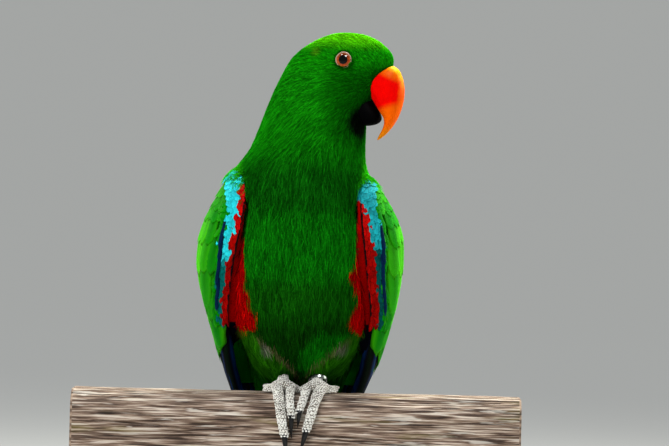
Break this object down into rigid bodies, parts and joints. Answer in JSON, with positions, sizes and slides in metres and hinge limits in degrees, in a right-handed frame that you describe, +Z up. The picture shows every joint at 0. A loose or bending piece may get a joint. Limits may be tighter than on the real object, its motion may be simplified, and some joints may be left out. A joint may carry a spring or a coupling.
{
  "type": "male eclectus parrot on a rail perch, still display model",
  "caption": "Life-size still model of a male eclectus parrot, head turned to its left, gripping a short rail perch held by a plain stand.",
  "frame": {"origin": "centre of the stand base's underside", "axes": "+Z up; the bird's breast faces -Y and its left side is towards +X; the rail runs along X"},
  "size_m": [0.26, 0.172, 0.3371],
  "materials": {
    "plumage_green": "fine overlapping green contour feathers, red on the flanks",
    "wing_feathers": "green coverts, blue leading edge, red lining, dark blue flight feathers",
    "tail_feathers": "green and blue tail feathers with a pale yellow end band",
    "bill_upper_horn": "red to orange horn with a yellow tip and top ridge",
    "bill_lower_horn": "black horn",
    "eye": "wet orange-brown iris with a black pupil",
    "foot_skin": "pale grey pebbled scales",
    "claw_horn": "black horn",
    "ring_metal": "worn satin metal",
    "perch_wood": "weathered grey-brown rail with cracks along the grain",
    "stand_black": "satin black painted wooden base",
    "stand_rod_metal": "satin black painted steel"
  },
  "bodies": {
    "root": {"head": "plumage_green", "neck": "plumage_green", "trunk": "plumage_green", "thigh_right": "plumage_green", "thigh_left": "plumage_green", "wing_right": "wing_feathers", "wing_left": "wing_feathers", "tail": "tail_feathers", "bill_upper": "bill_upper_horn", "bill_lower": "bill_lower_horn", "eye_right": "eye", "eye_left": "eye", "leg_ring": "ring_metal", "shank_right": "foot_skin", "shank_left": "foot_skin", "toe_outer_front_right": "foot_skin", "toe_inner_front_right": "foot_skin", "toe_outer_back_right": "foot_skin", "toe_inner_back_right": "foot_skin", "toe_outer_front_left": "foot_skin", "toe_inner_front_left": "foot_skin", "toe_outer_back_left": "foot_skin", "toe_inner_back_left": "foot_skin", "claw_outer_front_right": "claw_horn", "claw_inner_front_right": "claw_horn", "claw_outer_back_right": "claw_horn", "claw_inner_back_right": "claw_horn", "claw_outer_front_left": "claw_horn", "claw_inner_front_left": "claw_horn", "claw_outer_back_left": "claw_horn", "claw_inner_back_left": "claw_horn", "perch": "perch_wood", "stand_base": "stand_black", "stand_rod_right": "stand_rod_metal", "stand_rod_left": "stand_rod_metal"}
  },
  "joints": []
}
